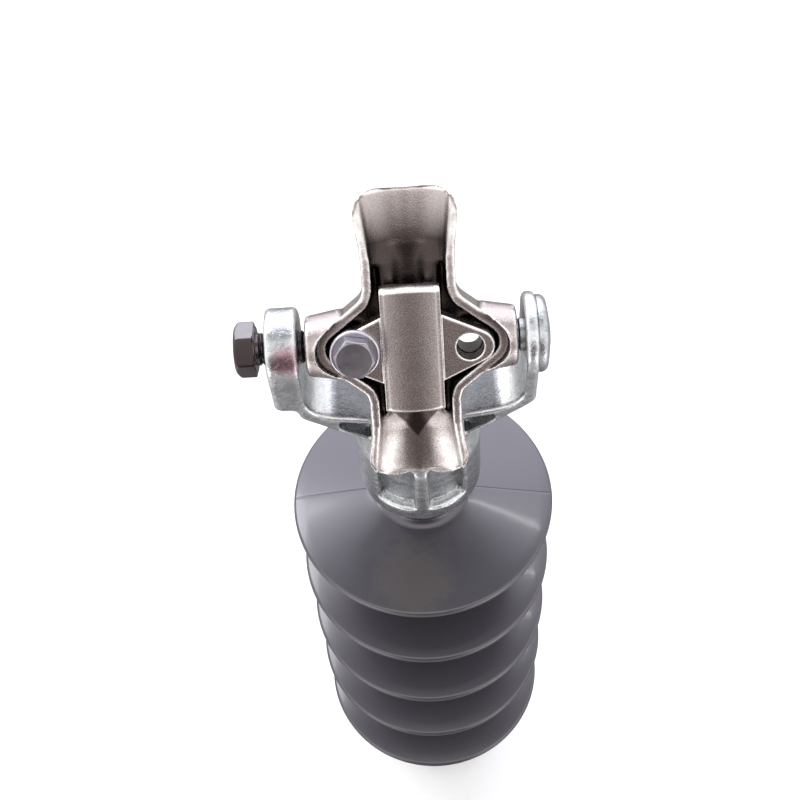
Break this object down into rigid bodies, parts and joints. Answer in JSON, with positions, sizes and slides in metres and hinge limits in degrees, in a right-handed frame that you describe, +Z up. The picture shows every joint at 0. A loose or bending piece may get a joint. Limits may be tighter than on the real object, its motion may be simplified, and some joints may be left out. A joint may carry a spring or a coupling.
{
  "type": "polymer post insulator",
  "caption": "Grey silicone rubber line post insulator on a crimped base, with a galvanized yoke on top that carries a swivelling aluminium conductor clamp.",
  "frame": {"origin": "middle of the base's flat face, on the axis of its tapped hole", "axes": "+Z up the post, +X along the clamp's pivot towards the thin right ear, -Y towards the viewer of the picture"},
  "size_m": [0.1602, 0.15, 0.579],
  "materials": {
    "glass_fibre": "glass-fibre reinforced resin, smooth",
    "silicone": "grey silicone rubber, semi-gloss",
    "galvanized": "hot-dip galvanized ductile iron, light spangle",
    "sealant": "cured silicone sealant",
    "dark_steel": "dark oiled steel",
    "zinc_pin": "galvanized steel",
    "cast_aluminium": "blasted cast aluminium",
    "zinc_plate": "zinc-plated steel"
  },
  "bodies": {
    "post": {"core_rod": "glass_fibre", "housing": "silicone", "top_fitting": "galvanized", "base_fitting": "galvanized", "top_seal": "sealant", "base_seal": "sealant", "pivot_bolt": "dark_steel", "pivot_pin": "zinc_pin"},
    "clamp": {"clamp_body": "cast_aluminium", "keeper": "cast_aluminium", "keeper_washer": "zinc_plate", "keeper_bolt": "zinc_plate"}
  },
  "joints": [
    {"name": "clamp_tilt", "type": "hinge", "parent": "post", "child": "clamp", "pos_m": [0, 0, 0.52], "axis": [1, 0, 0], "range_deg": [-111, 0]}
  ]
}
